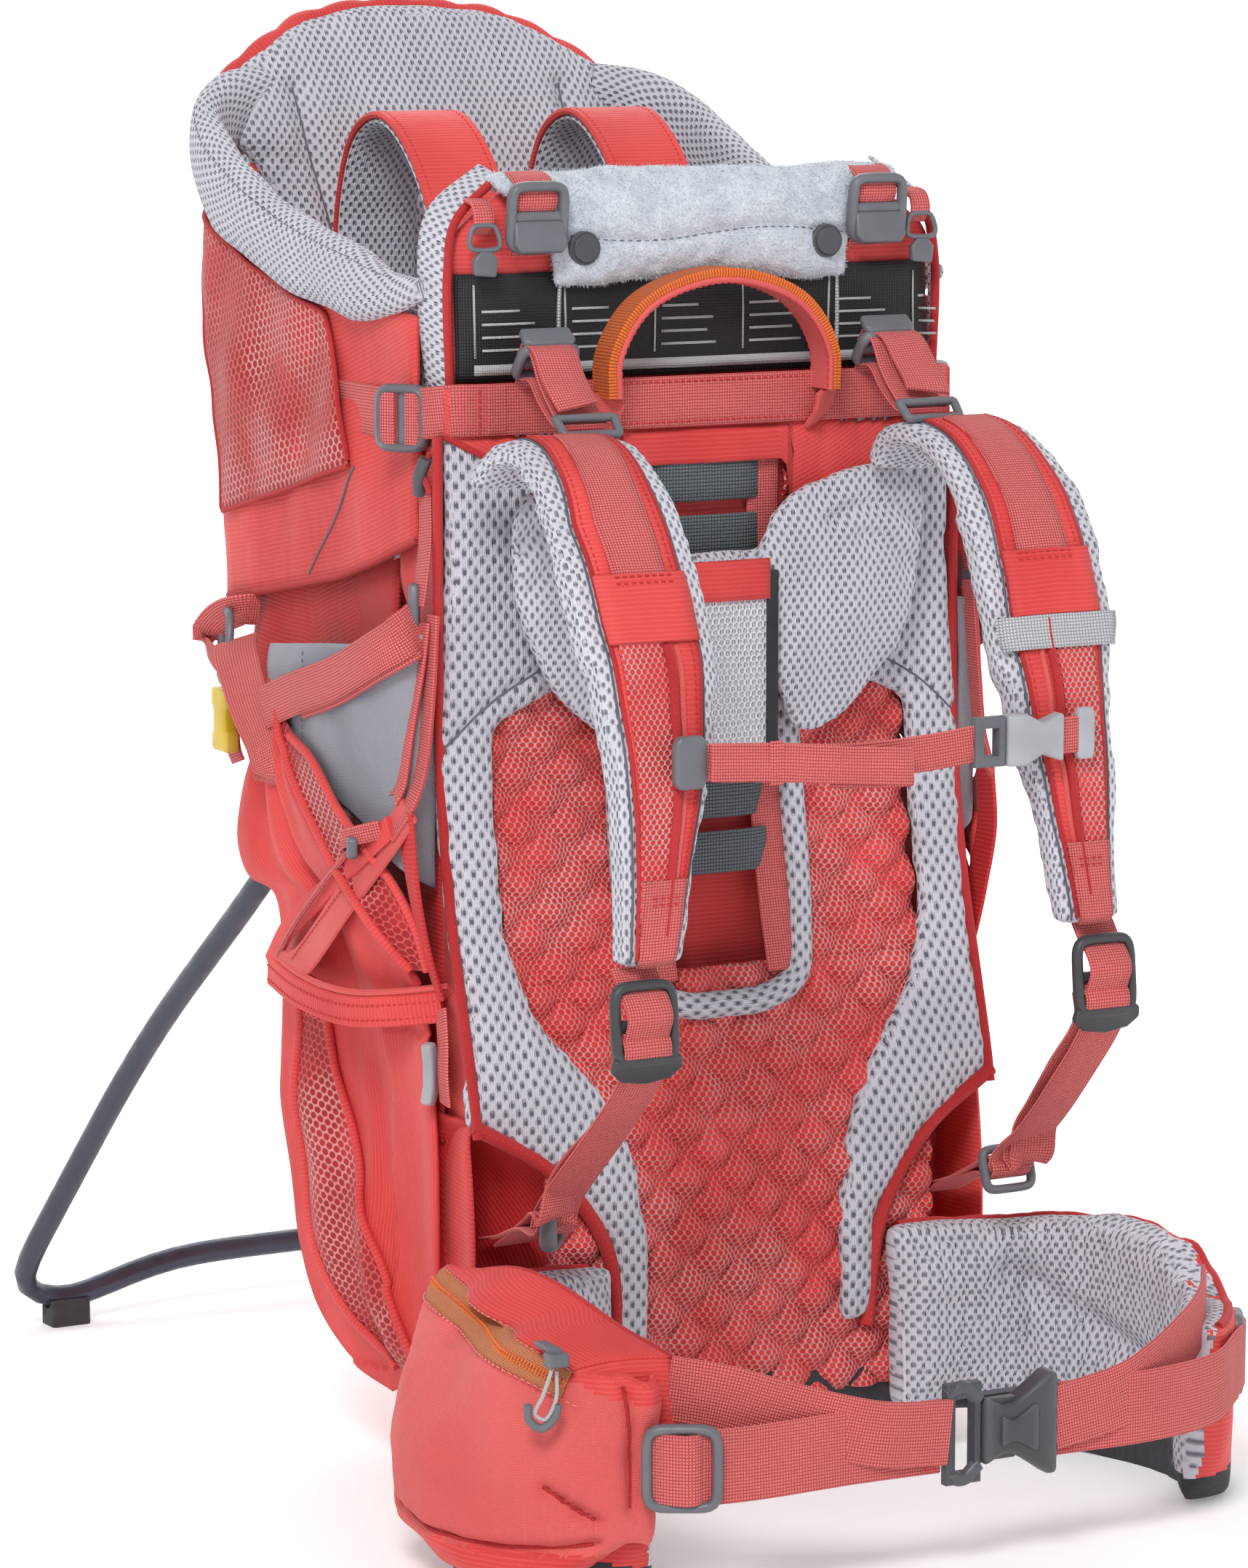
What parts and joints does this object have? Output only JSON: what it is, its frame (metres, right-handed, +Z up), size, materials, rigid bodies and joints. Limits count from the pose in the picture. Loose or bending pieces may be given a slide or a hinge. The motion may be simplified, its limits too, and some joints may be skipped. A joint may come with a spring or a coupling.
{
  "type": "child carrier backpack",
  "caption": "Framed backpack that carries a small child upright, with a padded back panel, shoulder and hip harness, cockpit, storage bag and folding kickstand.",
  "frame": {"origin": "middle of the underside of the base bar that the frame's side tubes end in", "axes": "+Z up with the carrier standing on its hip fins and stand feet, +X to the wearer's right as the back panel is looked at, +Y from the wearer's back towards the child and the stand"},
  "size_m": [0.4178, 0.7264, 0.7107],
  "materials": {
    "bare_tube": "satin anodised tube",
    "stand_paint": "slate powder coat",
    "dark_plastic": "moulded, fine texture",
    "grey_plastic": "moulded, satin",
    "light_plastic": "moulded, satin",
    "yellow_plastic": "moulded, satin",
    "rubber": "matte",
    "board": "stiff sheet",
    "red_fabric": "ribbed woven nylon",
    "coral_fabric": "plain woven nylon",
    "coral_webbing": "woven webbing",
    "red_mesh": "open hexagonal mesh over foam",
    "grey_mesh": "spacer mesh with oval holes",
    "grey_lining": "smooth woven lining",
    "plush": "short pile",
    "dark_fabric": "woven",
    "sign": "coated sheet, blank",
    "orange_webbing": "woven webbing"
  },
  "bodies": {
    "carrier": {"frame_tube": "bare_tube", "cross_bar": "bare_tube", "base_bar": "dark_plastic", "stand_bracket_right": "dark_plastic", "stand_bracket_left": "dark_plastic", "stand_pin_right": "bare_tube", "stand_pin_left": "bare_tube", "back_board": "board", "back_core": "red_mesh", "back_pad_right": "grey_mesh", "back_pad_left": "grey_mesh", "adjust_ladder": "red_fabric", "lumbar_pad": "dark_fabric", "headboard": "red_fabric", "sign_panel": "sign", "drool_pad": "plush", "snap_button_right": "dark_plastic", "snap_button_left": "dark_plastic", "top_lock_right": "grey_plastic", "top_lock_left": "grey_plastic", "lifter_lock_right": "grey_plastic", "lifter_lock_left": "grey_plastic", "cockpit_wall": "red_fabric", "waist_wall": "red_fabric", "rim_cushion_right": "grey_mesh", "rim_cushion_left": "grey_mesh", "lower_compartment": "red_fabric", "side_lock_right": "grey_plastic", "side_lock_left": "grey_plastic", "side_release_buckle": "yellow_plastic", "lower_anchor_right": "grey_plastic", "lower_anchor_left": "grey_plastic"},
    "kickstand": {"kickstand_tube": "stand_paint", "stand_foot_right": "rubber", "stand_foot_left": "rubber"},
    "handle": {"carry_handle": "orange_webbing"},
    "headrest": {"headrest_pad": "grey_mesh", "child_strap_right": "red_fabric", "child_strap_left": "red_fabric"},
    "seat": {"seat_bucket": "grey_lining"},
    "stirrup_right": {"stirrup_right": "red_fabric"},
    "stirrup_left": {"stirrup_left": "red_fabric"},
    "harness": {"yoke_pad": "grey_mesh", "shoulder_strap_right": "grey_mesh", "shoulder_strap_left": "grey_mesh", "strap_adjuster_right": "dark_plastic", "strap_adjuster_left": "dark_plastic"},
    "sternum": {"sternum_socket": "light_plastic"},
    "sternum_catch": {"sternum_tongue": "dark_plastic", "sternum_strap": "coral_webbing"},
    "hip_right": {"hip_fin_right": "grey_mesh", "hip_lock_right": "grey_plastic", "hip_strap_right": "coral_webbing", "hip_socket": "dark_plastic"},
    "hip_left": {"hip_fin_left": "grey_mesh", "hip_pocket": "coral_fabric", "hip_lock_left": "grey_plastic", "hip_strap_left": "coral_webbing", "hip_tongue": "dark_plastic"},
    "zip_pull": {"zip_slider": "grey_plastic"}
  },
  "joints": [
    {"name": "stand_fold", "type": "hinge", "parent": "carrier", "child": "kickstand", "pos_m": [0, -0.00745, 0.35401], "axis": [1, 0, 0], "range_deg": [-28, 0]},
    {"name": "handle_swing", "type": "hinge", "parent": "carrier", "child": "handle", "pos_m": [0, -0.06373, 0.49669], "axis": [1, 0, 0], "range_deg": [0, 30]},
    {"name": "headrest_slide", "type": "slide", "parent": "carrier", "child": "headrest", "axis": [0, -0.0436, 0.999], "range_m": [0, 0.04]},
    {"name": "seat_slide", "type": "slide", "parent": "carrier", "child": "seat", "axis": [0, -0.0436, 0.999], "range_m": [-0.018, 0.03]},
    {"name": "stirrup_right_lift", "type": "hinge", "parent": "carrier", "child": "stirrup_right", "pos_m": [0.139, 0.02637, 0.22136], "axis": [0, 0.999, 0.0436], "range_deg": [-35, 0]},
    {"name": "stirrup_left_lift", "type": "hinge", "parent": "carrier", "child": "stirrup_left", "pos_m": [-0.139, 0.02637, 0.22136], "axis": [0, 0.999, 0.0436], "range_deg": [0, 35]},
    {"name": "back_length_slide", "type": "slide", "parent": "carrier", "child": "harness", "axis": [0, -0.0436, 0.999], "range_m": [-0.035, 0.01]},
    {"name": "sternum_height", "type": "slide", "parent": "harness", "child": "sternum", "axis": [0, -0.0436, 0.999], "range_m": [-0.025, 0.025]},
    {"name": "sternum_release", "type": "slide", "parent": "sternum", "child": "sternum_catch", "axis": [-1, 0, 0], "range_m": [0, 0.022]},
    {"name": "hip_open_right", "type": "hinge", "parent": "carrier", "child": "hip_right", "pos_m": [0.062, -0.05808, 0.04651], "axis": [0, -0.0436, 0.999], "range_deg": [0, 28]},
    {"name": "hip_open_left", "type": "hinge", "parent": "carrier", "child": "hip_left", "pos_m": [-0.062, -0.05808, 0.04651], "axis": [0, -0.0436, 0.999], "range_deg": [-28, 0]},
    {"name": "zip_slide", "type": "slide", "parent": "hip_left", "child": "zip_pull", "axis": [-0.1668, 0.9721, 0.1649], "range_m": [0, 0.085]}
  ],
  "couplings": [
    {"joint": "hip_open_left", "follows": "hip_open_right", "ratio": -1}
  ]
}
